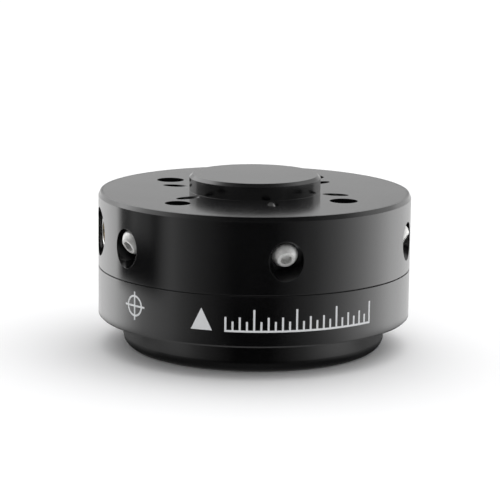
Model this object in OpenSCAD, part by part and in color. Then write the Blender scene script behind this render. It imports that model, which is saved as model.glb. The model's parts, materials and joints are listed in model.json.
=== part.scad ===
// Force torque sensor for a robot wrist.
// A coupling plate with a centring boss carries the round two-part housing on the robot.
// Inside, a cross-beam spring element with strain gauges joins the housing to the tool flange.
// Millimetres, +Z up, the tool face on z = 0, the robot face on top, the front towards -Y.
// Angles are in degrees from +X towards +Y, seen from above.

/* [Housing] */
// Outer diameter of the two housing rings
body_d = 75; // [75:0.5:84]
// Height from the tool face to the robot face
body_h = 37.5; // [37.5:0.1:41]
// Height of the upper housing ring
upper_ring_h = 17.8; // [17.3:0.1:18.1]
// Height of the lower housing ring
lower_ring_h = 12.2; // [11.9:0.1:12.5]
// Height of the groove around the meeting line
split_groove_h = 0.3; // [0.15:0.05:0.6]
// Depth of the groove around the meeting line
split_groove_depth = 0.5; // [0.2:0.1:1.2]
// Width of the chamfer around the robot end
rim_chamfer_w = 0.5; // [0.2:0.05:0.6]
// Height of the chamfer around the robot end
rim_chamfer_h = 1; // [0.3:0.1:1.4]
// Chamfer around the underside of the cover ring
cover_chamfer = 0.4; // [0.2:0.1:0.8]
// Thickness of the housing wall around the spring element
wall_t = 7.5; // [7.2:0.1:8]
// Thickness of the lip at the foot of the cover ring
lip_t = 1; // [0.8:0.1:1.4]
// Gap between that lip and the spring element
lip_gap = 2.6; // [2:0.1:3]

/* [Coupling plate] */
// Diameter of the boss that centres the robot flange
boss_d = 31.5; // [28:0.5:33]
// Height of the boss above the robot face
boss_h = 4; // [2.5:0.1:6]
// Chamfer around the top of the boss
boss_chamfer = 0.75; // [0.3:0.05:1.2]
// Thickness of the plate below the robot face
plate_t = 9.1; // [8.9:0.1:9.3]
// Width of the housing rim around the plate
plate_edge = 1; // [0.8:0.05:1.2]
// Height of the straight land around the plate
rim_land_h = 0.6; // [0.4:0.1:0.9]
// Clearance between the plate and its seat in the housing
seat_gap = 0.05; // [0.03:0.01:0.15]
// Diameter of the circle the robot bolts lie on
robot_pcd = 50; // [48:0.5:51]
// Diameter of a robot bolt hole
robot_bolt_d = 6.6; // [6.3:0.1:7]
// Diameter of the recess for the head of a robot bolt
robot_head_d = 11; // [10.2:0.1:11.6]
// Depth of the recess for the head of a robot bolt
robot_head_depth = 4.6; // [4:0.1:5.4]
// Diameter of the dowel hole in the robot face
robot_dowel_d = 6; // [5:0.5:6]
// Depth of the dowel hole in the robot face
robot_dowel_depth = 6; // [4:0.5:7]
// Distance of that dowel hole from the axis
robot_dowel_r = 26.5; // [26:0.1:27.5]
// Angle of that dowel hole from the connector
robot_dowel_angle = 36.5; // [36:0.5:42]

/* [Clamp screws] */
// Tilt of the clamp screws from the horizontal
clamp_tilt = 30; // [29:0.5:31]
// Depth of the screw axes below the robot face, on the outside of the housing
clamp_drop = 10.2; // [10:0.1:10.4]
// Angle between the connector and the clamp screws beside it
clamp_spread = 26.5; // [25:0.5:27]
// Diameter of a clamp screw recess
clamp_recess_d = 8; // [7.4:0.1:8.4]
// Depth of a clamp screw recess along the screw
clamp_recess_depth = 2.8; // [2.6:0.1:3.2]
// Thread diameter of a clamp screw
clamp_screw_d = 3; // [2.5:0.5:3]
// Length of a clamp screw below its head
clamp_screw_len = 8; // [7:1:8]
// Diameter of a clamp screw head
clamp_head_d = 6; // [5.4:0.1:6.4]
// Height of a clamp screw head
clamp_head_h = 2; // [1.7:0.05:2.2]
// Width across the flats of a clamp screw socket
clamp_key = 2.5; // [2:0.1:2.6]
// Diameter of the hole where a clamp screw bore leaves the robot face
clamp_exit_d = 3.2; // [3:0.1:3.3]
// Diameter of the bore beyond the tip of a clamp screw
clamp_tap_d = 2.5; // [2:0.1:2.6]

/* [Tool flange] */
// Diameter of the tool flange
flange_d = 63; // [62:0.5:66]
// Radius around the tool face
flange_round = 2.8; // [1:0.1:3.2]
// Clearance between the flange and the cover ring
flange_gap = 0.3; // [0.2:0.05:0.5]
// Radial gap around the plug that enters the cover ring
plug_gap = 0.5; // [0.3:0.05:0.7]
// Gap between the plug and the rim of the spring element
plug_clear = 1.5; // [1:0.1:1.8]
// Diameter of the centring recess in the tool face
recess_d = 31.5; // [29:0.5:33]
// Depth of the centring recess
recess_depth = 6; // [5:0.1:6.2]
// Chamfer around the mouth of the recess
recess_chamfer = 0.4; // [0.2:0.1:0.8]
// Diameter of the circle the tool bolts lie on
tool_pcd = 50; // [48:0.5:50.5]
// Core diameter of a tapped tool bolt hole
tool_bolt_d = 5; // [4.2:0.1:5.4]
// Diameter of the countersink at the mouth of that hole
tool_bolt_sink_d = 6.2; // [5.6:0.1:6.6]
// Depth of a tapped tool bolt hole
tool_bolt_depth = 7.5; // [6:0.1:7.8]
// Diameter of the dowel hole in the tool face
tool_dowel_d = 6; // [5:0.5:6.5]
// Depth of the dowel hole in the tool face
tool_dowel_depth = 6; // [4:0.5:7]

/* [Spring element] */
// Radial gap between the rim of the spring element and the housing
rim_gap = 0.3; // [0.2:0.05:0.5]
// Width of the rim of the spring element
rim_w = 5.7; // [5.5:0.1:6]
// Thickness of the rim
rim_h = 8; // [7.8:0.1:8.2]
// Diameter of the hub
hub_d = 27; // [26:0.1:28.4]
// Thickness of the hub
hub_h = 7; // [6.8:0.1:7]
// Width of a beam
beam_w = 6; // [5:0.1:8]
// Height of a beam
beam_h = 6; // [4:0.1:6.4]
// Thickness of the thin web at the end of a beam
web_t = 1; // [0.7:0.05:1.3]
// Width of the slot behind a web
web_slot_w = 1.2; // [0.8:0.1:1.3]
// Angle from the middle of a web to the end of its slot
web_slot_angle = 18; // [12:1:19]
// Diameter of the spigot that centres the hub
spigot_d = 10; // [8:0.1:10.6]
// Height of the spigot
spigot_h = 2; // [1:0.1:3]
// Radial clearance around the spigot
spigot_gap = 0.02; // [0.01:0.01:0.1]

/* [Inner screws and pins] */
// Distance of the rim screws from the outside of the rim
rim_screw_edge = 2.8; // [2.7:0.05:2.9]
// Thread diameter of the rim screws
rim_screw_d = 2.5; // [2:0.5:2.5]
// Head diameter of the rim screws
rim_head_d = 4.5; // [4:0.1:4.6]
// Angle of the rim screws to each side of a stop pin
rim_screw_angle = 12.5; // [12:0.25:13.5]
// Distance of the hub screws from the axis
hub_screw_r = 9.5; // [9.3:0.1:9.9]
// Thread diameter of the hub screws
hub_screw_d = 4; // [3:1:4]
// Length of the hub screws below the head
hub_screw_len = 10; // [8:1:10]
// Head diameter of the hub screws
hub_head_d = 7; // [6:0.1:7.2]
// Thickness of the flange between the heads of the hub screws and the hub
hub_floor_t = 3.8; // [3.4:0.1:4]
// Diameter of the stop pins
stop_pin_d = 3; // [2.5:0.1:3.2]
// Length of the stop pins
stop_pin_len = 9; // [8:0.5:10]
// Radial play of a stop pin in the spring element
stop_play = 0.2; // [0.1:0.05:0.3]
// Distance of the cover screws from the outside of the housing
cover_screw_edge = 3.2; // [3:0.05:3.3]
// Thread diameter of the cover screws
cover_screw_d = 2.5; // [2:0.5:2.5]
// Length of the cover screws below the head
cover_screw_len = 12; // [10:1:12]
// Head diameter of the cover screws
cover_head_d = 4.5; // [4:0.1:4.6]
// Depth of the recess for a cover screw
cover_recess_depth = 5; // [4.5:0.1:5.5]

/* [Seals] */
// Width and height of the seal between the housing rings
split_seal_t = 1.7; // [1.4:0.05:1.75]
// Width and height of the seal around the flange plug
gap_seal_t = 1.8; // [1.5:0.05:1.85]

/* [Connector] */
// Angle of the connector, and with it of the whole hole pattern
connector_angle = -169; // [-180:1:180]
// Diameter of the connector opening in the housing
opening_d = 11.6; // [11.2:0.1:11.8]
// Depth of the connector opening
opening_depth = 5.5; // [5.1:0.1:5.7]
// Outer diameter of the plug thread
shell_d = 8; // [7.6:0.1:8.2]
// Wall thickness of the connector shell
shell_wall = 0.8; // [0.6:0.05:1]
// Distance of the mouth of the connector below the outside of the housing
shell_sink = 1.1; // [0.7:0.1:1.7]
// Radial gap around the connector flange
shell_flange_gap = 0.4; // [0.2:0.05:0.5]
// Thickness of the connector flange
shell_flange_t = 1.4; // [1.2:0.1:1.8]
// Width across the flats of the connector nut
nut_flats = 10; // [9.6:0.1:10.4]
// Thickness of the connector nut
nut_t = 2.5; // [2:0.1:2.8]
// Diameter of a contact pin
pin_d = 0.8; // [0.6:0.05:1]
// Distance between neighbouring contact pins
pin_pitch = 2.3; // [2:0.1:2.6]
// Diameter of an insulated wire
wire_d = 1; // [0.7:0.05:1.2]
// Gap between the wires and the main board
wire_gap = 0.15; // [0.1:0.05:0.4]
// Thickness of the wall that the connector is clamped to
block_t = 4.8; // [4.4:0.1:5]

/* [Electronics] */
// Width of the housing wall around the main board
board_wall_t = 2.4; // [2.3:0.1:2.8]
// Radial gap around the main board
board_gap = 0.2; // [0.1:0.05:0.4]
// Thickness of the main board
board_t = 1.6; // [1.2:0.1:1.8]
// Gap between the board and the coupling plate
board_room = 1.8; // [1.5:0.1:2.2]
// Thickness of the ledge between the board and the spring element
ledge_t = 3; // [2.8:0.1:3.2]
// Distance of the board screws from the edge of the board
board_screw_edge = 1.6; // [1.5:0.1:1.7]
// Thread diameter of the board screws
board_screw_d = 1.6; // [1.4:0.1:1.8]
// Length of the board screws below the head
board_screw_len = 3.5; // [3:0.5:3.5]
// Length of a strain gauge
gauge_len = 3.2; // [2.4:0.1:3.6]
// Gap between the two gauges on top of a beam
gauge_gap = 0.8; // [0.5:0.1:1.2]
// Distance from the hub to the gauges
gauge_margin = 1.5; // [1.2:0.1:2.5]
// Width of a strain gauge
gauge_w = 2.2; // [1.4:0.1:2.2]
// Thickness of the gauges and of the flexible circuit
foil_t = 0.15; // [0.1:0.01:0.25]
// Width of the processor
processor_w = 9; // [7:0.5:10]
// Height of the processor
processor_h = 1.1; // [0.8:0.1:1.4]
// Width of a converter chip
converter_w = 5; // [4:0.5:6]
// Distance between neighbouring converter chips
converter_pitch = 9; // [7.5:0.5:10]
// Distance from the processor to the row of converter chips
converter_row = 12; // [10:0.5:13]
// Height of the converter and driver chips
chip_h = 1.2; // [0.8:0.1:1.4]
// Length of a capacitor
capacitor_l = 1.6; // [1:0.1:2]
// Distance between neighbouring capacitors
capacitor_pitch = 4; // [3:0.5:5]
// Distance of the capacitors from the middle of the processor
capacitor_row = 8; // [7:0.5:9]

/* [Hidden] */
$fn = 96;
e = 0.01;
reach = 60;

body_r = body_d / 2;
cavity_r = body_r - wall_t;
boss_r = boss_d / 2;
plate_z = body_h - plate_t;
board_top_z = plate_z - board_room;
board_z = board_top_z - board_t;
element_top_z = board_z - ledge_t;
element_z = element_top_z - rim_h;
split_z = body_h - upper_ring_h;
cover_z = split_z - lower_ring_h;

plate_rim_r = body_r - plate_edge;
flank_top_z = body_h - rim_land_h;
flank_slope = tan(clamp_tilt);
flank_r = plate_rim_r - (flank_top_z - plate_z) * flank_slope;
seat_gap_r = seat_gap / cos(clamp_tilt);
shelf_r = flank_r + seat_gap_r;

clamp_z = body_h - clamp_drop;
clamp_angles = [
  clamp_spread, 90, 180 - clamp_spread,
  180 + clamp_spread, 270, 360 - clamp_spread
];
clamp_tip = clamp_recess_depth + clamp_screw_len;
clamp_exit = 15 / cos(clamp_tilt);
clamp_end = (clamp_drop + clamp_exit_d / 2 * cos(clamp_tilt)) / sin(clamp_tilt);
screw_slack = 0.05;

bolt_angles = [45, 135, 225, 315];
robot_bolt_angles = [135, 225, 315];

flange_r = flange_d / 2;
flange_top_z = cover_z - flange_gap;
lip_r = cavity_r - lip_t;
lip_z = element_z - lip_gap;
plug_r = lip_r - plug_gap;
plug_z = element_z - plug_clear;
stop_pin_z = tool_bolt_depth + 1;
hub_seat_z = element_z - hub_floor_t;
hub_screw_angles = [0, 60, 120, 180, 240, 300];

rim_r = cavity_r - rim_gap;
rim_bore_r = rim_r - rim_w;
hub_top_z = element_z + hub_h;
beam_z = hub_top_z - beam_h;
beam_angles = [0, 90, 180, 270];
web_r = rim_bore_r + web_t;
slot_r = web_r + web_slot_w;
web_relief = 0.4;
rim_screw_r = rim_r - rim_screw_edge;
rim_head_h = rim_screw_d;
rim_seat_z = element_z + rim_head_h + 0.1;
rim_screw_len = board_z - 0.4 - rim_seat_z;
cover_screw_r = body_r - cover_screw_edge;
cover_angle_a = (clamp_spread + 90) / 2;
cover_screw_angles = [
  cover_angle_a, 180 - cover_angle_a, 180 + cover_angle_a, 360 - cover_angle_a
];
cover_seat_z = cover_z + cover_recess_depth;

board_pocket_r = cavity_r - board_wall_t;
board_r = board_pocket_r - board_gap;
board_screw_r = board_r - board_screw_edge;
board_screw_angles = [20, 110, 200, 290];
board_head_h = 1;
gauge_r = hub_d / 2 + gauge_margin;
tongue_l = 1.8;
tongue_w = 1.6;

split_seal_r = cavity_r + 1.5;
gap_seal_r = plug_r + 0.05;
gap_seal_z = (cover_z + lip_z) / 2;

connector_z = board_top_z + wire_gap + (wire_d + pin_pitch) / 2;
opening_floor_r = body_r - opening_depth;
block_r = opening_floor_r - block_t;
block_w = opening_d + 1.8;
block_top_z = connector_z + opening_d / 2 + 0.7;
pocket_w = block_w + 1.6;
pocket_top_z = block_top_z + 0.4;
nut_d = nut_flats / cos(30);
nut_notch_w = nut_d + 1;
nut_notch_r = block_r - nut_t - 2.7;
shell_end_r = body_r - shell_sink;
shell_flange_d = opening_d - 2 * shell_flange_gap;
shell_hole_d = shell_d + 0.2;
shell_bore_d = shell_d - 2 * shell_wall;
shell_rear_r = block_r - nut_t + 0.1;
step_r = shell_rear_r + 1.4;
step_w = 0.4;
shell_seal_h = 0.7;
shell_seal_w = 0.8;
shell_seal_gap = 0.2;
insert_end_r = opening_floor_r - 2.6;
pin_rear_r = shell_rear_r - 0.9;
pin_end_r = shell_end_r - 1;
header_l = 3.5;
header_w = 9;
wire_len = 4.4;
header_r = pin_rear_r - wire_len - header_l;
driver_w = 5.5;
driver_x = header_r - driver_w;
driver_y = header_w / 2 + driver_w + 1;
pocket_room = 4;
pocket_r = header_r - pocket_room;
flex_socket_r = 7;

// Places its children at a distance r on the spoke at angle a from the connector.
module on_spoke(a, r = 0, z = 0) {
  rotate([0, 0, connector_angle + a])
    translate([r, 0, z])
      children();
}

// Lays +Z along a clamp screw, inwards and up, with zero on the outside of the housing.
module on_clamp(a) {
  on_spoke(a, body_r, clamp_z)
    rotate([0, clamp_tilt - 90, 0])
      children();
}

// Lays +Z outwards along the axis of the connector, with zero on the axis of the sensor.
module on_connector() {
  on_spoke(0, 0, connector_z)
    rotate([0, 90, 0])
      children();
}

// Places its children at the four contacts of the connector.
module on_contacts() {
  for (x = [-1, 1], y = [-1, 1])
    translate([x * pin_pitch / 2, y * pin_pitch / 2, 0])
      children();
}

// A vertical bore from height z0 to z1.
module bore(d, z0, z1) {
  translate([0, 0, z0])
    cylinder(d = d, h = z1 - z0);
}

// A 45 degree countersink in a face at z = 0, from diameter d0 up to diameter d1.
module countersink(d0, d1) {
  rotate_extrude()
    polygon([[0, -e], [d0 / 2 + e, -e], [d1 / 2, (d0 - d1) / 2], [0, (d0 - d1) / 2]]);
}

// A hexagonal socket that opens at z = 0 and runs up.
module hex_socket(flats, depth) {
  cylinder(d = flats / cos(30), h = depth, $fn = 6);
}

// A socket head screw, head seat on z = 0 and tip upwards.
module socket_screw(d, len, head_d, head_h, key) {
  difference() {
    union() {
      rotate_extrude()
        polygon([
          [0, -head_h], [head_d / 2 - 0.1 * d, -head_h], [head_d / 2, 0.1 * d - head_h],
          [head_d / 2, 0], [d / 2, 0], [d / 2, len - 0.15 * d], [0.35 * d, len], [0, len]
        ]);
    }
    translate([0, 0, -head_h - e])
      hex_socket(key, head_h * 0.55);
  }
}

// A button head screw, head seat on z = 0 and tip upwards.
module button_screw(d, len, head_d, head_h, key) {
  edge_h = 0.25 * head_h;
  flat_r = 0.33 * head_d;
  dome_z = (head_h ^ 2 - edge_h ^ 2 - (head_d / 2) ^ 2 + flat_r ^ 2) / (2 * (edge_h - head_h));
  dome_r = sqrt((head_d / 2) ^ 2 + (edge_h + dome_z) ^ 2);
  difference() {
    union() {
      rotate_extrude()
        intersection() {
          translate([0, dome_z])
            circle(r = dome_r);
          translate([0, -head_h])
            square([head_d / 2, head_h]);
        }
      rotate_extrude()
        polygon([
          [0, -e], [d / 2, -e], [d / 2, len - 0.15 * d], [0.35 * d, len], [0, len]
        ]);
    }
    translate([0, 0, -head_h - e])
      hex_socket(key, head_h * 0.62);
  }
}

// The turned outline of the coupling plate below the robot face.
module coupling_plate() {
  color([0.07, 0.07, 0.08])
    difference() {
      rotate_extrude()
        polygon([
          [0, plate_z], [flank_r, plate_z], [plate_rim_r, flank_top_z],
          [plate_rim_r, body_h], [boss_r, body_h], [boss_r, body_h + boss_h - boss_chamfer],
          [boss_r - boss_chamfer, body_h + boss_h], [0, body_h + boss_h]
        ]);
      for (a = robot_bolt_angles) {
        on_spoke(a, robot_pcd / 2)
          bore(robot_bolt_d, plate_z - 1, body_h + 1);
        on_spoke(a, robot_pcd / 2)
          bore(robot_head_d, plate_z - 1, plate_z + robot_head_depth);
      }
      on_spoke(robot_dowel_angle, robot_dowel_r)
        bore(robot_dowel_d, body_h - robot_dowel_depth, body_h + 1);
      for (a = clamp_angles)
        on_clamp(a) {
          bore(clamp_screw_d + 2 * screw_slack, 0, clamp_tip + 0.3);
          bore(clamp_tap_d, clamp_tip, clamp_exit + 1);
          bore(clamp_exit_d, clamp_exit, clamp_end);
        }
      on_spoke(0)
        translate([pocket_r, -pocket_w / 2, plate_z - 1])
          cube([reach, pocket_w, pocket_top_z - plate_z + 1]);
    }
}

// The upper ring with its conical seat, the tilted recesses and the connector block.
module housing_ring() {
  color([0.07, 0.07, 0.08])
    difference() {
      union() {
        rotate_extrude()
          polygon([
            [cavity_r, split_z], [body_r, split_z], [body_r, body_h - rim_chamfer_h],
            [body_r - rim_chamfer_w, body_h], [plate_rim_r + seat_gap_r, body_h],
            [plate_rim_r + seat_gap_r, flank_top_z], [shelf_r, plate_z],
            [board_pocket_r, plate_z], [board_pocket_r, board_z], [rim_bore_r, board_z],
            [rim_bore_r, element_top_z], [cavity_r, element_top_z]
          ]);
        on_spoke(0)
          translate([block_r, -block_w / 2, element_top_z + 1])
            cube([body_r - block_r - 2, block_w, block_top_z - element_top_z - 1]);
      }
      for (a = clamp_angles)
        on_clamp(a) {
          bore(clamp_recess_d, -clamp_recess_d, clamp_recess_depth);
          bore(clamp_screw_d + 0.4, 0, clamp_tip);
        }
      on_spoke(0)
        translate([nut_notch_r, -nut_notch_w / 2, element_top_z - 1])
          cube([block_r - nut_notch_r, nut_notch_w, reach]);
      on_connector() {
        bore(shell_hole_d, nut_notch_r, reach);
        bore(opening_d, opening_floor_r, reach);
      }
      for (a = cover_screw_angles)
        on_spoke(a, cover_screw_r)
          bore(cover_screw_d + 2 * screw_slack, split_z - 1, cover_seat_z + cover_screw_len + 0.4);
      for (a = bolt_angles, s = [-1, 1])
        on_spoke(a + s * rim_screw_angle, rim_screw_r)
          bore(rim_screw_d + 2 * screw_slack, element_top_z - 1, board_z + 1);
      for (a = board_screw_angles)
        on_spoke(a, board_screw_r)
          bore(board_screw_d + 2 * screw_slack, element_top_z + 0.5, board_z + 1);
    }
}

// The lower ring, open below around the plug of the tool flange.
module cover_ring() {
  color([0.07, 0.07, 0.08])
    difference() {
      rotate_extrude()
        difference() {
          polygon([
            [lip_r, cover_z], [body_r - cover_chamfer, cover_z], [body_r, cover_z + cover_chamfer],
            [body_r, split_z - split_groove_h], [body_r - split_groove_depth, split_z - split_groove_h],
            [body_r - split_groove_depth, split_z], [cavity_r, split_z], [cavity_r, lip_z],
            [lip_r, lip_z]
          ]);
          translate([split_seal_r - split_seal_t / 2 - 0.05, split_z - split_seal_t])
            square([split_seal_t + 0.1, split_seal_t + 1]);
          translate([lip_r - 1, gap_seal_z - gap_seal_t / 2])
            square([gap_seal_r + gap_seal_t + 0.05 - lip_r + 1, gap_seal_t]);
        }
      for (a = cover_screw_angles)
        on_spoke(a, cover_screw_r) {
          bore(cover_screw_d + 0.3, cover_z - 1, split_z + 1);
          bore(cover_head_d + 0.4, cover_z - 1, cover_seat_z);
        }
    }
}

// The tool flange with its centring recess, tapped holes and plug.
module tool_flange() {
  color([0.07, 0.07, 0.08])
    difference() {
      rotate_extrude()
        union() {
          difference() {
            square([flange_r, flange_top_z]);
            translate([flange_r - flange_round, 0])
              difference() {
                translate([0, -1])
                  square([flange_round + 1, flange_round + 1]);
                translate([0, flange_round])
                  circle(r = flange_round);
              }
          }
          square([plug_r, plug_z]);
          square([hub_d / 2, element_z]);
          square([spigot_d / 2, element_z + spigot_h]);
        }
      bore(recess_d, -1, recess_depth);
      countersink(recess_d + 2 * recess_chamfer, recess_d);
      for (a = bolt_angles) {
        on_spoke(a, tool_pcd / 2) {
          bore(tool_bolt_d, -1, tool_bolt_depth);
          countersink(tool_bolt_sink_d, tool_bolt_d);
        }
        on_spoke(a, rim_screw_r)
          bore(stop_pin_d, stop_pin_z, plug_z + 1);
      }
      on_spoke(0, tool_pcd / 2)
        bore(tool_dowel_d, -1, tool_dowel_depth);
      for (a = hub_screw_angles)
        on_spoke(a, hub_screw_r) {
          bore(hub_screw_d + 0.3, 1, element_z + 1);
          bore(hub_head_d + 0.4, 1, hub_seat_z);
        }
    }
}

// One rim, one hub and four beams that end in thin webs, milled from one blank.
module spring_element() {
  color([0.78, 0.79, 0.81])
    difference() {
      union() {
        difference() {
          bore(2 * rim_r, element_z, element_top_z);
          bore(2 * rim_bore_r, element_z - 1, element_top_z + 1);
        }
        on_spoke(45)
          bore(hub_d, element_z, hub_top_z);
        for (a = beam_angles)
          on_spoke(a)
            translate([0, -beam_w / 2, beam_z])
              cube([rim_bore_r + web_t / 2, beam_w, beam_h]);
      }
      for (a = beam_angles) {
        on_spoke(a - web_slot_angle)
          rotate_extrude(angle = 2 * web_slot_angle)
            translate([web_r, element_z - 1])
              square([web_slot_w, rim_h + 2]);
        for (s = [-1, 1])
          on_spoke(a + s * web_slot_angle, (web_r + slot_r) / 2)
            bore(web_slot_w + web_relief, element_z - 1, element_top_z + 1);
      }
      for (a = bolt_angles) {
        on_spoke(a, rim_screw_r)
          bore(stop_pin_d + 2 * stop_play, element_z - 1, element_top_z + 1);
        for (s = [-1, 1])
          on_spoke(a + s * rim_screw_angle, rim_screw_r) {
            bore(rim_screw_d + 0.3, element_z - 1, element_top_z + 1);
            bore(rim_head_d + 0.4, element_z - 1, rim_seat_z);
          }
      }
      bore(spigot_d + 2 * spigot_gap, element_z - 1, hub_top_z + 1);
      for (a = hub_screw_angles)
        on_spoke(a, hub_screw_r)
          bore(hub_screw_d + 2 * screw_slack, element_z - 1, hub_top_z + 1);
    }
}

// Button head screws that pull the plate down into its seat.
module clamp_screws() {
  color([0.8, 0.8, 0.8])
    for (a = clamp_angles)
      on_clamp(a)
        translate([0, 0, clamp_recess_depth])
          button_screw(clamp_screw_d, clamp_screw_len, clamp_head_d, clamp_head_h, clamp_key);
}

// Screws that hold the cover ring under the housing ring.
module cover_screws() {
  color([0.3, 0.3, 0.32])
    for (a = cover_screw_angles)
      on_spoke(a, cover_screw_r, cover_seat_z)
        socket_screw(cover_screw_d, cover_screw_len, cover_head_d, cover_screw_d, 2);
}

// Screws that hold the rim of the spring element under the housing ring.
module rim_screws() {
  color([0.3, 0.3, 0.32])
    for (a = bolt_angles, s = [-1, 1])
      on_spoke(a + s * rim_screw_angle, rim_screw_r, rim_seat_z)
        socket_screw(rim_screw_d, rim_screw_len, rim_head_d, rim_head_h, 2);
}

// Screws that hold the tool flange under the hub.
module hub_screws() {
  color([0.3, 0.3, 0.32])
    for (a = hub_screw_angles)
      on_spoke(a, hub_screw_r, hub_seat_z)
        socket_screw(hub_screw_d, hub_screw_len, hub_head_d, hub_screw_d, 3);
}

// Pins pressed into the flange that stop the rim before the beams are overloaded.
module stop_pins() {
  color([0.75, 0.75, 0.77])
    for (a = bolt_angles)
      on_spoke(a, rim_screw_r)
        bore(stop_pin_d, stop_pin_z, stop_pin_z + stop_pin_len);
}

// Four foil gauges on each beam, two on top and one on each side.
module strain_gauges() {
  color([0.8, 0.55, 0.25])
    for (a = beam_angles)
      on_spoke(a) {
        for (y = [-gauge_w - gauge_gap / 2, gauge_gap / 2])
          translate([gauge_r, y, hub_top_z])
            cube([gauge_len, gauge_w, foil_t]);
        for (y = [-beam_w / 2 - foil_t, beam_w / 2])
          translate([gauge_r, y, beam_z + (beam_h - gauge_w) / 2])
            cube([gauge_len, foil_t, gauge_w]);
      }
}

// Thin circuit on the hub that gathers the gauges and climbs to the board.
module flex_circuit() {
  color([0.75, 0.45, 0.1])
    union() {
      difference() {
        bore(hub_d - 1, hub_top_z, hub_top_z + foil_t);
        bore(spigot_d + 1, hub_top_z - 1, hub_top_z + 1);
      }
      for (a = beam_angles)
        on_spoke(a)
          translate([hub_d / 2 - tongue_l / 2, -tongue_w / 2, hub_top_z])
            cube([tongue_l, tongue_w, foil_t]);
      on_spoke(180)
        translate([flex_socket_r, -2.5, hub_top_z])
          cube([foil_t, 5, board_z - 1.8 - hub_top_z]);
    }
}

// Socket under the board that takes the flexible circuit.
module flex_socket() {
  color([0.85, 0.85, 0.8])
    on_spoke(180)
      translate([flex_socket_r - 1.2, -3.5, board_z - 1.8])
        cube([2.6, 7, 1.8]);
}

// Round board on the ledge of the housing ring, notched beside the connector.
module main_board() {
  color([0.05, 0.3, 0.15])
    difference() {
      bore(2 * board_r, board_z, board_top_z);
      on_spoke(0)
        translate([nut_notch_r, -nut_notch_w / 2, board_z - 1])
          cube([reach, nut_notch_w, board_t + 2]);
      for (a = board_screw_angles)
        on_spoke(a, board_screw_r)
          bore(board_screw_d + 0.3, board_z - 1, board_top_z + 1);
    }
}

// Screws that hold the board on its ledge.
module board_screws() {
  color([0.75, 0.75, 0.75])
    for (a = board_screw_angles)
      on_spoke(a, board_screw_r, board_top_z)
        rotate([180, 0, 0])
          difference() {
            rotate_extrude()
              polygon([
                [0, -board_head_h], [1.2, -board_head_h], [1.4, 0.2 - board_head_h], [1.4, 0],
                [board_screw_d / 2, 0], [board_screw_d / 2, board_screw_len - 0.2],
                [board_screw_d / 2 - 0.2, board_screw_len], [0, board_screw_len]
              ]);
            translate([0, 0, -board_head_h - e])
              hex_socket(1.3, 0.5);
          }
}

// A chip body of size w by l by h on top of the board at x, y.
module chip(x, y, w, l, h) {
  on_spoke(0)
    translate([x - w / 2, y - l / 2, board_top_z])
      cube([w, l, h]);
}

// The signal processor of the sensor.
module processor() {
  color([0.1, 0.1, 0.1])
    chip(0, 0, processor_w, processor_w, processor_h);
}

// Converters that read the strain gauges.
module converter_chips() {
  color([0.1, 0.1, 0.1])
    for (i = [-1, 0, 1])
      chip(-converter_row, i * converter_pitch, converter_w, converter_w, chip_h);
}

// Line driver and supply regulator beside the wire header.
module driver_chips() {
  color([0.1, 0.1, 0.1])
    for (s = [-1, 1])
      chip(driver_x, s * driver_y, driver_w, driver_w - 1, chip_h);
}

// Capacitors around the processor.
module capacitors() {
  color([0.7, 0.6, 0.45])
    for (s = [-1, 1], i = [-1, 0, 1])
      chip(i * capacitor_pitch, s * capacitor_row, capacitor_l, capacitor_l / 2, capacitor_l / 2);
}

// Header on the board that takes the wires of the connector.
module wire_header() {
  color([0.9, 0.88, 0.8])
    on_spoke(0)
      translate([header_r, -header_w / 2, board_top_z])
        cube([header_l, header_w, connector_z + pin_pitch / 2 + wire_d - board_top_z]);
}

// Ring seal between the two housing rings.
module split_seal() {
  color([0.1, 0.1, 0.1])
    rotate_extrude()
      translate([split_seal_r - split_seal_t / 2, split_z - split_seal_t])
        square(split_seal_t);
}

// Ring seal between the cover ring and the plug of the flange.
module gap_seal() {
  color([0.1, 0.1, 0.1])
    rotate_extrude()
      translate([gap_seal_r, gap_seal_z - gap_seal_t / 2])
        square(gap_seal_t);
}

// Threaded shell of the round connector, sunk into the opening.
module connector_shell() {
  color([0.8, 0.8, 0.78])
    on_connector()
      difference() {
        union() {
          bore(shell_d, shell_rear_r, shell_end_r);
          bore(shell_flange_d, opening_floor_r, opening_floor_r + shell_flange_t);
        }
        bore(shell_bore_d, step_r, shell_end_r + 1);
        bore(shell_bore_d - 2 * step_w, shell_rear_r - 1, step_r + 1);
        difference() {
          bore(
            shell_d + 2 * (shell_seal_w + shell_seal_gap) + 0.1,
            opening_floor_r - 1, opening_floor_r + shell_seal_h
          );
          bore(shell_d + 2 * shell_seal_gap - 0.1, opening_floor_r - 2, opening_floor_r + 1);
        }
      }
}

// Insulating insert that carries the contact pins.
module connector_insert() {
  color([0.1, 0.1, 0.1])
    on_connector()
      difference() {
        union() {
          bore(shell_bore_d - 0.06, step_r, insert_end_r);
          bore(shell_bore_d - 2 * step_w - 0.06, shell_rear_r + 0.2, step_r);
        }
        on_contacts()
          bore(pin_d + 0.04, shell_rear_r - 1, insert_end_r + 1);
      }
}

// Four contact pins.
module contact_pins() {
  color([0.85, 0.7, 0.3])
    on_connector()
      on_contacts()
        rotate_extrude()
          polygon([
            [0, pin_rear_r], [pin_d / 2, pin_rear_r], [pin_d / 2, pin_end_r - 0.4],
            [pin_d / 4, pin_end_r], [0, pin_end_r]
          ]);
}

// Hexagon nut that clamps the shell to its block.
module connector_nut() {
  color([0.8, 0.8, 0.78])
    on_connector()
      difference() {
        translate([0, 0, block_r - nut_t])
          cylinder(d = nut_d, h = nut_t, $fn = 6);
        bore(shell_d + 2 * screw_slack, block_r - nut_t - 1, block_r + 1);
      }
}

// Ring seal under the flange of the shell.
module connector_seal() {
  color([0.1, 0.1, 0.1])
    on_connector()
      rotate_extrude()
        translate([shell_d / 2 + shell_seal_gap, opening_floor_r])
          square([shell_seal_w, shell_seal_h]);
}

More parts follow.
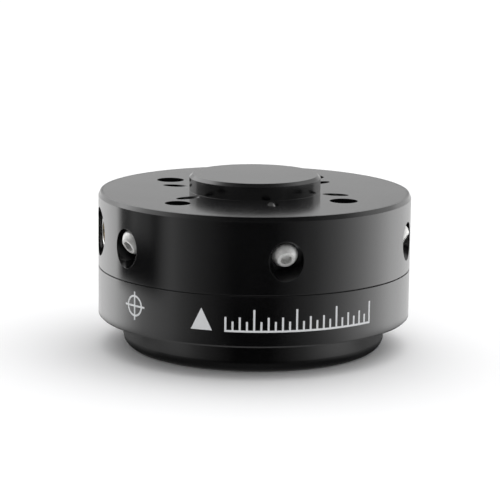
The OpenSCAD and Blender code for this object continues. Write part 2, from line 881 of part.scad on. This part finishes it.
// Insulated wires from the contact pins to the header.
module lead_wires() {
  color([0.7, 0.1, 0.1])
    on_connector()
      on_contacts()
        bore(wire_d, header_r + header_l, pin_rear_r);
}

coupling_plate();
housing_ring();
cover_ring();
tool_flange();
spring_element();
clamp_screws();
cover_screws();
rim_screws();
hub_screws();
stop_pins();
strain_gauges();
flex_circuit();
flex_socket();
main_board();
board_screws();
processor();
converter_chips();
driver_chips();
capacitors();
wire_header();
split_seal();
gap_seal();
connector_shell();
connector_insert();
contact_pins();
connector_nut();
connector_seal();
lead_wires();
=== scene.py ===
import json
import math

import bpy
from mathutils import Matrix, Vector


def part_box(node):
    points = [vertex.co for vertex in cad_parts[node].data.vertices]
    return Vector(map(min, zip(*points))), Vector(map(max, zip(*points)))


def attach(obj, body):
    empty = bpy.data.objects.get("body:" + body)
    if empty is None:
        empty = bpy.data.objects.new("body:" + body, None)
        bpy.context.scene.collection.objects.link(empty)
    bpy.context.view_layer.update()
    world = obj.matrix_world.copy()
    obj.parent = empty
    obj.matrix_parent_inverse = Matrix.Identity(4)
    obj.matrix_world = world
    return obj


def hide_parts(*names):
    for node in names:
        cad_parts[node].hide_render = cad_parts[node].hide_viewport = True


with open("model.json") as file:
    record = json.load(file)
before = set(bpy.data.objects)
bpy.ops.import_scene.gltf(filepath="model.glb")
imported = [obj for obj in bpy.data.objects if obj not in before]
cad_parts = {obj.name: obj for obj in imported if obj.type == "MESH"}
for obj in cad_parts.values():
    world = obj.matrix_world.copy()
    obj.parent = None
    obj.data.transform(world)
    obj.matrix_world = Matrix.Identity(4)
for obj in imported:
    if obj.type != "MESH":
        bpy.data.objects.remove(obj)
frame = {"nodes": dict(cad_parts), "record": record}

MM = 0.001
MM_A_METRE = 1000.0
TURN = 2 * math.pi
BODY_R = 37.5  # radius of the housing rings in millimetres
PRINT_COLOUR = (0.62, 0.63, 0.64)
PRINT_ROUGH = 0.5
SHARP_ANGLE = math.radians(35)
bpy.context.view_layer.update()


# ---- node helpers ----

def add(tree, kind, props=None, **inputs):
    """Adds a node. Inputs go by name with _ for a space, or by number as i0, i1."""
    node = tree.nodes.new(kind)
    for key, value in (props or {}).items():
        setattr(node, key, value)
    for key, value in inputs.items():
        by_number = key[0] == "i" and key[1:].isdigit()
        socket = node.inputs[int(key[1:]) if by_number else key.replace("_", " ")]
        if isinstance(value, bpy.types.NodeSocket):
            tree.links.new(value, socket)
        elif isinstance(value, tuple) and len(value) == 3 and socket.type == "RGBA":
            socket.default_value = (*value, 1.0)
        else:
            socket.default_value = value
    return node


def calc(tree, operation, a, b=0.0, c=0.0):
    """A Math node."""
    return add(tree, "ShaderNodeMath", {"operation": operation}, i0=a, i1=b, i2=c).outputs[0]


def between(tree, value, low, high, to_low=0.0, to_high=1.0):
    """Goes smoothly from to_low to to_high as value goes from low to high, in either direction."""
    return add(
        tree, "ShaderNodeMapRange", {"interpolation_type": "SMOOTHSTEP", "clamp": True},
        Value=value, From_Min=low, From_Max=high, To_Min=to_low, To_Max=to_high,
    ).outputs[0]


def noise(tree, where, scale, detail):
    """A noise of about 0.5 that varies scale times a metre."""
    return add(tree, "ShaderNodeTexNoise", Vector=where, Scale=scale, Detail=detail).outputs[0]


def mixed(tree, factor, a, b):
    """Mixes two colours, each a socket or three numbers."""
    return add(
        tree, "ShaderNodeMix", {"data_type": "RGBA"}, i0=factor, i6=a, i7=b
    ).outputs[2]


def blended(tree, factor, a, b):
    """Mixes two numbers, each a socket or a number."""
    return add(tree, "ShaderNodeMix", i0=factor, i2=a, i3=b).outputs[0]


def all_of(tree, *masks):
    """The product of masks."""
    total = masks[0]
    for mask in masks[1:]:
        total = calc(tree, "MULTIPLY", total, mask)
    return total


def any_of(tree, *masks):
    """The highest of masks."""
    total = masks[0]
    for mask in masks[1:]:
        total = calc(tree, "MAXIMUM", total, mask)
    return total


def axes_of(tree, vector):
    """The x, y and z of a vector socket."""
    return add(tree, "ShaderNodeSeparateXYZ", Vector=vector).outputs


def turn_from_front(tree, x, y):
    """The angle around the Z axis, 0 in front at -Y and growing towards +X."""
    return calc(tree, "ARCTAN2", x, calc(tree, "MULTIPLY", y, -1.0))


def fresh(name):
    """A material with an empty node tree, and that tree."""
    material = bpy.data.materials.new(name)
    material.use_nodes = True
    material.node_tree.nodes.clear()
    return material, material.node_tree


# ---- materials ----

def printed_marks(tree, where):
    """A mask of the print on the lower ring: a plain angle scale, a pointer and a centre mark.

    Lengths are in millimetres, u around the ring from the front and v up from the tool face.
    """
    line = 0.46
    x, y, z = axes_of(tree, where)
    u = calc(tree, "MULTIPLY", turn_from_front(tree, x, y), BODY_R)
    v = calc(tree, "MULTIPLY", z, MM_A_METRE)

    def inside(value, low, high):
        return all_of(
            tree, calc(tree, "GREATER_THAN", value, low), calc(tree, "LESS_THAN", value, high)
        )

    # the scale: ticks every 2.5 degrees, longer every 5 and longest every 15
    step, long_ticks = math.radians(2.5) * BODY_R, (2, 6)
    first, last, foot = -4, 18, 11.6
    short, longer, longest = 2.0, 1.0, 1.8
    cell = calc(tree, "DIVIDE", u, step)
    index = calc(tree, "ROUND", cell)
    off = calc(tree, "ABSOLUTE", calc(tree, "SUBTRACT", cell, index))
    off = calc(tree, "MULTIPLY", off, step)
    on_tick = calc(tree, "LESS_THAN", off, line / 2)
    every = [
        calc(tree, "COMPARE", calc(tree, "PINGPONG", index, n / 2), 0.0, 0.1) for n in long_ticks
    ]
    length = calc(tree, "ADD", short, calc(tree, "MULTIPLY", every[0], longer))
    length = calc(tree, "ADD", length, calc(tree, "MULTIPLY", every[1], longest))
    rise = calc(tree, "SUBTRACT", v, foot)
    span = inside(index, first - 0.5, last + 0.5)
    ticks = all_of(
        tree, on_tick, span, calc(tree, "GREATER_THAN", rise, 0.0),
        calc(tree, "LESS_THAN", rise, length),
    )
    base_line = all_of(
        tree, inside(u, first * step - line / 2, last * step + line / 2),
        inside(rise, -line, 0.0),
    )

    # the pointer, left of the scale
    pointer_u, pointer_low, pointer_high, pointer_slope = -12.2, 11.3, 16.4, 0.5
    aside = calc(tree, "ABSOLUTE", calc(tree, "SUBTRACT", u, pointer_u))
    flank = calc(tree, "MULTIPLY", calc(tree, "SUBTRACT", pointer_high, v), pointer_slope)
    pointer = all_of(
        tree, calc(tree, "LESS_THAN", aside, flank), calc(tree, "GREATER_THAN", v, pointer_low)
    )

    # the centre mark, a ring with a cross through it
    ring_u, ring_v, ring_r = -31.0, 14.4, 2.3
    arm_r = ring_r * 1.45
    du, dv = calc(tree, "SUBTRACT", u, ring_u), calc(tree, "SUBTRACT", v, ring_v)
    far = calc(tree, "SQRT", calc(
        tree, "ADD", calc(tree, "MULTIPLY", du, du), calc(tree, "MULTIPLY", dv, dv)
    ))
    rim = calc(tree, "COMPARE", far, ring_r, line / 2)
    cross = any_of(
        tree, calc(tree, "COMPARE", du, 0.0, line / 2), calc(tree, "COMPARE", dv, 0.0, line / 2)
    )
    arms = all_of(tree, cross, calc(tree, "LESS_THAN", far, arm_r))
    on_side = calc(tree, "LESS_THAN", y, 0.0)
    return all_of(tree, on_side, any_of(tree, ticks, base_line, pointer, rim, arms))


def surface(
    name, dark, light, rough, metallic=0.0, grain=2500.0, height=0.0, stretch=(1, 1, 1),
    edge=0.0, worn=None, marks=False,
):
    """A material whose colour, roughness and bump follow a broad and a fine noise.

    dark and light are the ends of its colour, and rough holds those of its roughness. grain and
    stretch are the fine noise's. height is the depth of the bump and edge the radius of the glint
    on edges, in millimetres. worn is the colour on rubbed edges, and marks adds the print.
    """
    broad_scale, tone_low, tone_high = 55.0, 0.35, 0.65
    material, tree = fresh(name)
    where = add(tree, "ShaderNodeTexCoord").outputs["Object"]
    grained = add(tree, "ShaderNodeMapping", Vector=where, Scale=stretch).outputs[0]
    fine = noise(tree, grained, grain, 3.0)
    broad = noise(tree, where, broad_scale, 2.0)
    tone = calc(tree, "ADD", calc(tree, "MULTIPLY", fine, 0.5), calc(tree, "MULTIPLY", broad, 0.5))
    colour = mixed(tree, between(tree, tone, tone_low, tone_high), dark, light)
    gloss = between(tree, tone, tone_low, tone_high, rough[0], rough[1])
    normal = add(tree, "ShaderNodeNewGeometry").outputs["Normal"]
    if edge:
        rounded = add(tree, "ShaderNodeBevel", {"samples": 6}, Radius=edge * MM).outputs[0]
        if worn:
            turned = add(
                tree, "ShaderNodeVectorMath", {"operation": "DOT_PRODUCT"}, i0=rounded, i1=normal
            ).outputs["Value"]
            rub = all_of(
                tree, between(tree, turned, 0.985, 0.86, 0.0, 1.0),
                between(tree, broad, 0.3, 0.7, 0.4, 1.0),
            )
            colour = mixed(tree, rub, colour, worn)
        normal = rounded
    if marks:
        mask = printed_marks(tree, where)
        colour = mixed(tree, mask, colour, PRINT_COLOUR)
        gloss = blended(tree, mask, gloss, PRINT_ROUGH)
    if height:
        normal = add(
            tree, "ShaderNodeBump", Strength=1.0, Distance=height * MM, Height=fine, Normal=normal
        ).outputs[0]
    shader = add(
        tree, "ShaderNodeBsdfPrincipled", Base_Color=colour, Roughness=gloss, Normal=normal,
        Metallic=metallic,
    )
    add(tree, "ShaderNodeOutputMaterial", Surface=shader.outputs[0])
    return material


ANODISED = dict(
    dark=(0.0020, 0.0020, 0.0022), light=(0.0034, 0.0035, 0.0038), rough=(0.13, 0.18),
    grain=2600.0, height=0.0012, edge=0.10, worn=(0.02, 0.02, 0.021),
)
STEEL = dict(metallic=1.0, grain=1800.0, height=0.0015, edge=0.08)
FINISHES = {
    "black_anodised": ANODISED,
    "milled_aluminium": dict(
        dark=(0.60, 0.61, 0.62), light=(0.74, 0.75, 0.76), rough=(0.26, 0.36), metallic=1.0,
        grain=1500.0, height=0.002, stretch=(0.06, 1, 1), edge=0.1,
    ),
    "stainless_steel": dict(
        STEEL, dark=(0.62, 0.62, 0.61), light=(0.82, 0.82, 0.81), rough=(0.60, 0.70),
    ),
    "black_steel": dict(
        STEEL, dark=(0.035, 0.035, 0.04), light=(0.07, 0.07, 0.075), rough=(0.28, 0.4),
    ),
    "ground_steel": dict(
        STEEL, dark=(0.52, 0.53, 0.55), light=(0.66, 0.67, 0.69), rough=(0.12, 0.2),
        stretch=(1, 1, 0.08),
    ),
    "gauge_foil": dict(
        dark=(0.48, 0.25, 0.07), light=(0.62, 0.36, 0.12), rough=(0.25, 0.35),
        grain=5000.0,
    ),
    "flex_film": dict(
        dark=(0.42, 0.17, 0.02), light=(0.54, 0.25, 0.04), rough=(0.18, 0.28),
        grain=4000.0,
    ),
    "white_plastic": dict(
        dark=(0.66, 0.64, 0.56), light=(0.74, 0.72, 0.65), rough=(0.45, 0.55),
        grain=3000.0, height=0.001,
    ),
    "board_green": dict(
        dark=(0.004, 0.05, 0.02), light=(0.008, 0.085, 0.035), rough=(0.25, 0.34),
        grain=1200.0, height=0.002,
    ),
    "chip_black": dict(
        dark=(0.010, 0.010, 0.010), light=(0.022, 0.022, 0.022), rough=(0.5, 0.62),
        grain=6000.0, height=0.002,
    ),
    "capacitor_tan": dict(
        dark=(0.30, 0.22, 0.13), light=(0.42, 0.32, 0.20), rough=(0.4, 0.55),
        grain=5000.0,
    ),
    "seal_rubber": dict(
        dark=(0.008, 0.008, 0.008), light=(0.016, 0.016, 0.016), rough=(0.6, 0.75),
        grain=3500.0, height=0.003,
    ),
    "nickel_plate": dict(
        dark=(0.54, 0.54, 0.53), light=(0.67, 0.67, 0.66), rough=(0.2, 0.3), metallic=1.0,
        grain=2200.0, height=0.001, edge=0.06,
    ),
    "insert_black": dict(
        dark=(0.008, 0.008, 0.009), light=(0.017, 0.017, 0.018), rough=(0.4, 0.5),
        grain=5000.0, height=0.001,
    ),
    "contact_gold": dict(
        dark=(0.68, 0.42, 0.11), light=(0.86, 0.58, 0.2), rough=(0.12, 0.2),
        metallic=1.0, grain=6000.0,
    ),
    "wire_sheath": dict(
        dark=(0.30, 0.012, 0.01), light=(0.42, 0.02, 0.016), rough=(0.3, 0.4),
        grain=3000.0, height=0.001,
    ),
}
MATERIALS = {slot: surface(slot, **finish) for slot, finish in FINISHES.items()}
MATERIALS["printed_ring"] = surface("printed_ring", marks=True, **ANODISED)


def dress_nodes():
    """Gives every CAD node the finish of its slot in the record, and the cover ring its print."""
    slots = {part["node"]: part["material_slot"] for part in frame["record"]["subparts"]}
    for name, node in frame["nodes"].items():
        material = MATERIALS["printed_ring" if name == "cover_ring" else slots[name]]
        if not node.material_slots:
            node.data.materials.append(material)
        for place in node.material_slots:
            place.material = material


# ---- pieces ----

def mesh_object(name, points, faces, material):
    """A mesh in the scene, from points in metres."""
    mesh = bpy.data.meshes.new(name)
    mesh.from_pydata(points, [], faces)
    mesh.validate()
    mesh.materials.append(material)
    made = bpy.data.objects.new(name, mesh)
    bpy.context.scene.collection.objects.link(made)
    return made


def piece(name, points, faces, slot):
    """A smooth mesh piece in the row frame, with its real edges sharp."""
    made = mesh_object(name, points, faces, MATERIALS[slot])
    made.data.shade_smooth()
    made.data.set_sharp_from_angle(angle=SHARP_ANGLE)
    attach(made, "root")
    return made


def ring_faces(rows, columns):
    """Faces of a closed tube of ring rows, whose last row is next to its first."""
    faces = []
    for row in range(rows):
        after = (row + 1) % rows
        for column in range(columns):
            aside = (column + 1) % columns
            faces.append((
                row * columns + column, row * columns + aside,
                after * columns + aside, after * columns + column,
            ))
    return faces


def thread_height(along, turn, end, pitch):
    """Height of a thread, 0 to 1, at a place along its axis, running out at 0 and at its end."""
    crest, slope, fade = 1.55, 3.4, 0.4 * pitch
    phase = (along / pitch - turn / TURN) % 1.0
    ridge = min(1.0, max(0.0, crest - slope * abs(phase - 0.5)))
    run_out = min(1.0, max(0.0, min(along, end - along) / fade))
    return ridge * run_out


def make_threaded_shell():
    """The shell of the round connector, with the M8 x 1 thread that its plug screws onto."""
    mount = next(m for m in frame["record"]["mounts"] if m["name"] == "plug_thread")
    thread_r, thread_length = mount["dims"]["r_mm"] * MM, mount["dims"]["length_mm"] * MM
    end, out = Vector(mount["pos_m"]), Vector(mount["axis"])
    across, up = Vector((-out.y, out.x, 0)), Vector((0, 0, 1))
    shell = [Vector(corner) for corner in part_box("connector_shell")]
    insert = [Vector(corner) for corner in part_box("connector_insert")]
    flange_r = (shell[1].z - shell[0].z) / 2
    bore_r = (insert[1].z - insert[0].z) / 2 + 0.03 * MM
    # depths are measured inwards from the open end of the shell
    rear, flange_front, flange_t = 11.6 * MM, thread_length, 1.4 * MM
    step, step_w, lead, deep = 10.2 * MM, 0.4 * MM, 0.3 * MM, 0.45 * MM
    mouth, flange_edge, stem_r = 0.1 * MM, 0.15 * MM, thread_r - 0.01 * MM
    pitch, rows_a_turn, columns = 1.0 * MM, 10, 96
    # depth and radius of each row, with None where the thread's rows go
    profile = [
        (0.0, bore_r + mouth), (0.0, thread_r - lead), (lead, thread_r), None,
        (flange_front, flange_r - flange_edge), (flange_front + flange_edge, flange_r),
        (flange_front + flange_t, flange_r), (flange_front + flange_t, stem_r),
        (rear - lead, stem_r), (rear, thread_r - lead), (rear, bore_r - step_w),
        (step, bore_r - step_w), (step, bore_r), (mouth, bore_r),
    ]
    rows = []
    for place in profile:
        if place:
            rows.append((*place, False))
            continue
        count = round((flange_front - lead) / pitch * rows_a_turn)
        for n in range(1, count + 1):
            rows.append((lead + (flange_front - lead) * n / count, thread_r, True))
    points = []
    for depth, radius, threaded in rows:
        for column in range(columns):
            turn = TURN * column / columns
            height = thread_height(depth, turn, flange_front, pitch) if threaded else 1.0
            far = radius - deep * (1.0 - height)
            points.append(
                end - out * depth + across * far * math.cos(turn) + up * far * math.sin(turn)
            )
    shell_piece = piece("threaded_shell", points, ring_faces(len(rows), columns), "nickel_plate")
    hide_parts("connector_shell")


def make_tool_threads():
    """A fine helical ridge on the wall of each tapped hole in the tool face."""
    mounts = {m["name"]: m for m in frame["record"]["mounts"]}
    bolts = mounts["tool_bolts"]["dims"]
    dowel = mounts["tool_dowel"]["pos_m"]
    wall_r, circle_r = bolts["hole_r_mm"] * MM, bolts["pcd_mm"] * MM / 2
    low, high, pitch, steps_a_turn = 1.0 * MM, 7.2 * MM, 1.0 * MM, 32
    rise, half, root_r = 0.16 * MM, 0.30 * MM, wall_r + 0.02 * MM
    tapers_a_turn = 4  # the ridge reaches its height within a quarter turn
    count = round((high - low) / pitch * steps_a_turn)
    for number in range(bolts["count"]):
        angle = math.atan2(dowel[1], dowel[0]) + TURN * (number + 0.5) / bolts["count"]
        middle = Vector((circle_r * math.cos(angle), circle_r * math.sin(angle), 0))
        points = []
        for n in range(count + 1):
            turn, z = TURN * n / steps_a_turn, low + (high - low) * n / count
            taper = min(
                1.0, tapers_a_turn * n / steps_a_turn, tapers_a_turn * (count - n) / steps_a_turn
            )
            for far, lift in ((root_r, -half), (wall_r - rise * taper, 0), (root_r, half)):
                points.append(
                    middle + Vector((far * math.cos(turn), far * math.sin(turn), z + lift))
                )
        faces = [
            (3 * n + side, 3 * n + (side + 1) % 3, 3 * n + 3 + (side + 1) % 3, 3 * n + 3 + side)
            for n in range(count) for side in range(3)
        ]
        faces += [(2, 1, 0), (3 * count, 3 * count + 1, 3 * count + 2)]
        piece(f"tool_thread_{number + 1}", points, faces, "black_anodised")


dress_nodes()
make_threaded_shell()
make_tool_threads()


# ---- stage, lights and camera ----

def make_floor():
    """A white floor. Gloss sees through it, dimmed close by, where the base shades it."""
    half, level = 6.0, -0.02 * MM
    corners = [(x * half, y * half, level) for x, y in ((-1, -1), (1, -1), (1, 1), (-1, 1))]
    material, tree = fresh("floor")
    path = add(tree, "ShaderNodeLightPath").outputs
    matt = add(tree, "ShaderNodeBsdfDiffuse", Color=(0.86, 0.86, 0.865))
    where = add(tree, "ShaderNodeTexCoord").outputs["Object"]
    # what short gloss rays see through the floor: less further back, and less the shorter they are
    shade = between(tree, axes_of(tree, where)[1], -0.040, -0.010, 0.85, 0.15)
    near = between(tree, path["Ray Length"], 0.002, 0.016, 0.15, 1.0)
    away = between(tree, path["Ray Length"], 0.032, 0.040)
    # long rays pass, as do those under the base and from below
    far = add(tree, "ShaderNodeVectorMath", {"operation": "LENGTH"}, i0=where).outputs["Value"]
    under = between(tree, far, 0.029, 0.026)
    below = add(tree, "ShaderNodeNewGeometry").outputs["Backfacing"]
    dimmed = any_of(tree, all_of(tree, shade, near), away, under, below)
    clear = add(tree, "ShaderNodeBsdfTransparent", Color=dimmed)
    unseen = any_of(tree, path["Is Glossy Ray"], below)
    shown = add(tree, "ShaderNodeMixShader", i0=unseen, i1=matt.outputs[0], i2=clear.outputs[0])
    add(tree, "ShaderNodeOutputMaterial", Surface=shown.outputs[0])
    floor = mesh_object("floor", corners, [(0, 1, 2, 3)], material)


def make_flag():
    """A dark card bent around the left of the sensor, which only gloss sees, with soft edges."""
    away, low, high, edge = 0.062, 0.009, 0.044, 0.006
    first, last, steps = math.radians(-89), math.radians(-42), 12
    glow = 0.02
    points = []
    for n in range(steps + 1):
        turn = first + (last - first) * n / steps
        x, y = away * math.sin(turn), -away * math.cos(turn)
        points += [(x, y, low), (x, y, high)]
    faces = [(2 * n, 2 * n + 2, 2 * n + 3, 2 * n + 1) for n in range(steps)]
    material, tree = fresh("flag")
    where = add(tree, "ShaderNodeTexCoord").outputs["Object"]
    x, y, z = axes_of(tree, where)
    turned = turn_from_front(tree, x, y)
    # the upper part of its left half lets up to a third through, and less at its far end
    thin = all_of(
        tree, between(tree, z, 0.020, 0.028, 0.0, 0.34), between(tree, turned, -0.90, -1.04),
        between(tree, turned, -1.34, -1.20, 0.35, 1.0),
    )
    solid = all_of(
        tree, between(tree, turned, first, first + 0.14), between(tree, turned, last, last - 0.26),
        between(tree, z, low, low + edge), between(tree, z, high, high - edge),
        calc(tree, "SUBTRACT", 1.0, thin),
    )
    dark = add(tree, "ShaderNodeEmission", Color=(1.0, 1.0, 1.0), Strength=glow)
    clear = add(tree, "ShaderNodeBsdfTransparent")
    soft = add(tree, "ShaderNodeMixShader", i0=solid, i1=clear.outputs[0], i2=dark.outputs[0])
    add(tree, "ShaderNodeOutputMaterial", Surface=soft.outputs[0])
    flag = mesh_object("flag", points, faces, material)
    flag.visible_camera = False
    flag.visible_diffuse = False
    flag.visible_shadow = False


def make_world():
    """White for the camera, soft boxes for gloss, and a plain sky from behind for matt surfaces."""
    brightest = 4.0
    below, background = 0.95, 1.0
    # place and level of each: turns from the back over the left, front and right to the back again
    boxes = [
        (0.000, 0.95), (0.040, 1.00), (0.080, 1.50), (0.120, 2.30), (0.160, 3.00),
        (0.190, 2.90), (0.220, 2.20), (0.250, 1.50), (0.280, 1.25), (0.304, 1.10),
        (0.330, 0.90), (0.352, 0.60), (0.385, 0.33), (0.430, 0.12), (0.460, 0.01), (0.540, 0.01),
        (0.580, 0.18), (0.625, 0.48), (0.672, 1.12), (0.720, 2.00), (0.760, 2.75),
        (0.800, 3.15), (0.830, 3.05), (0.870, 2.25), (0.900, 1.75), (0.940, 1.12),
        (0.965, 0.95), (1.000, 0.95),
    ]
    world = bpy.data.worlds.new("studio")
    bpy.context.scene.world = world
    world.use_nodes = True
    tree = world.node_tree
    tree.nodes.clear()
    way = add(tree, "ShaderNodeTexCoord").outputs["Generated"]
    x, y, z = axes_of(tree, way)
    place = calc(tree, "MULTIPLY_ADD", turn_from_front(tree, x, y), 1 / TURN, 0.5)
    ramp = add(tree, "ShaderNodeValToRGB", i0=place)
    stops = ramp.color_ramp.elements
    while len(stops) < len(boxes):
        stops.new(0.5)
    for stop, (where, level) in zip(stops, boxes):
        stop.position = where
        stop.color = (*(level / brightest,) * 3, 1.0)
    ring = calc(tree, "MULTIPLY", ramp.outputs[0], brightest)
    # well above the horizon the left boxes grow brighter, save in front, and the right ones darker
    left, right = between(tree, y, -0.4, -0.15, 0.85, 1.3), between(tree, y, -0.5, 0.1, 0.1, 0.5)
    high = blended(tree, between(tree, x, -0.3, 0.3), left, right)
    low = between(tree, z, -0.05, 0.1, 1.0, 0.77)
    height = blended(tree, between(tree, z, 0.2, 0.32), low, high)
    # just above the horizon the side boxes dip, so that the robot face stays dark from the sides
    low_band = all_of(tree, between(tree, z, 0.0, 0.06), between(tree, z, 0.30, 0.22))
    beside = between(tree, calc(tree, "ABSOLUTE", x), 0.76, 0.86, 0.0, 0.7)
    dip = calc(tree, "SUBTRACT", 1.0, all_of(tree, low_band, beside))
    ring = all_of(tree, ring, height, dip)
    # a dim fill all round up to the overhead part, which is brighter behind than in front
    fill = all_of(tree, between(tree, z, 0.03, 0.2), between(tree, z, 0.66, 0.56, 0.0, 0.45))
    ring = calc(tree, "MAXIMUM", ring, fill)
    zenith = between(tree, y, -0.15, 0.15, 0.15, 0.8)
    gloss = blended(tree, between(tree, z, 0.7, 0.9), ring, zenith)
    gloss = blended(tree, between(tree, z, -0.4, -0.7), gloss, below)
    path = add(tree, "ShaderNodeLightPath").outputs
    # matt surfaces get more from behind, from the right and from above
    behind = calc(tree, "MULTIPLY_ADD", x, 0.5, y)
    matt = all_of(
        tree, between(tree, behind, -0.4, 0.4, 0.55, 1.6), between(tree, z, 0.2, 0.8, 0.38, 1.42)
    )
    level = blended(tree, path["Is Glossy Ray"], matt, gloss)
    level = blended(tree, path["Is Camera Ray"], level, background)
    back = add(tree, "ShaderNodeBackground", Color=(1.0, 1.0, 1.0), Strength=level)
    add(tree, "ShaderNodeOutputWorld", Surface=back.outputs[0])


def make_lamp(name, place, size, power):
    """A soft lamp aimed at the sensor that lights matt surfaces only."""
    light = bpy.data.lights.new(name, "AREA")
    light.shape = "DISK"
    light.size = size
    light.energy = power
    lamp = bpy.data.objects.new(name, light)
    lamp.location = place
    lamp.rotation_mode = "QUATERNION"
    lamp.rotation_quaternion = Vector(place).to_track_quat("Z", "Y")
    lamp.visible_glossy = False
    lamp.visible_camera = False
    bpy.context.scene.collection.objects.link(lamp)


def make_camera():
    """The photograph's view: half a metre in front of the sensor, looking 11 degrees down."""
    yaw, pitch, roll = (math.radians(angle) for angle in (0.22, 11.05, 0.67))
    place = Vector((-3.0, -520.6, 124.5)) * MM
    ahead = Vector((
        math.sin(yaw) * math.cos(pitch), math.cos(yaw) * math.cos(pitch), -math.sin(pitch)
    ))
    level = Vector((math.cos(yaw), -math.sin(yaw), 0))
    above = level.cross(ahead)
    right = math.cos(roll) * level + math.sin(roll) * above
    up = math.cos(roll) * above - math.sin(roll) * level
    camera = bpy.data.objects.new("camera", bpy.data.cameras.new("camera"))
    turn = Matrix((right, up, -ahead)).transposed().to_4x4()
    camera.matrix_world = Matrix.Translation(place) @ turn
    camera.data.sensor_width = 36.0
    camera.data.lens = 158.2
    camera.data.clip_start = 0.01
    camera.data.clip_end = 50.0
    bpy.context.scene.collection.objects.link(camera)
    bpy.context.scene.camera = camera


make_floor()
make_world()
make_flag()
make_lamp("front_lamp", place=(-0.2, -1.3, 0.5), size=0.7, power=3.0)
make_camera()
bpy.context.scene.view_settings.view_transform = "Standard"
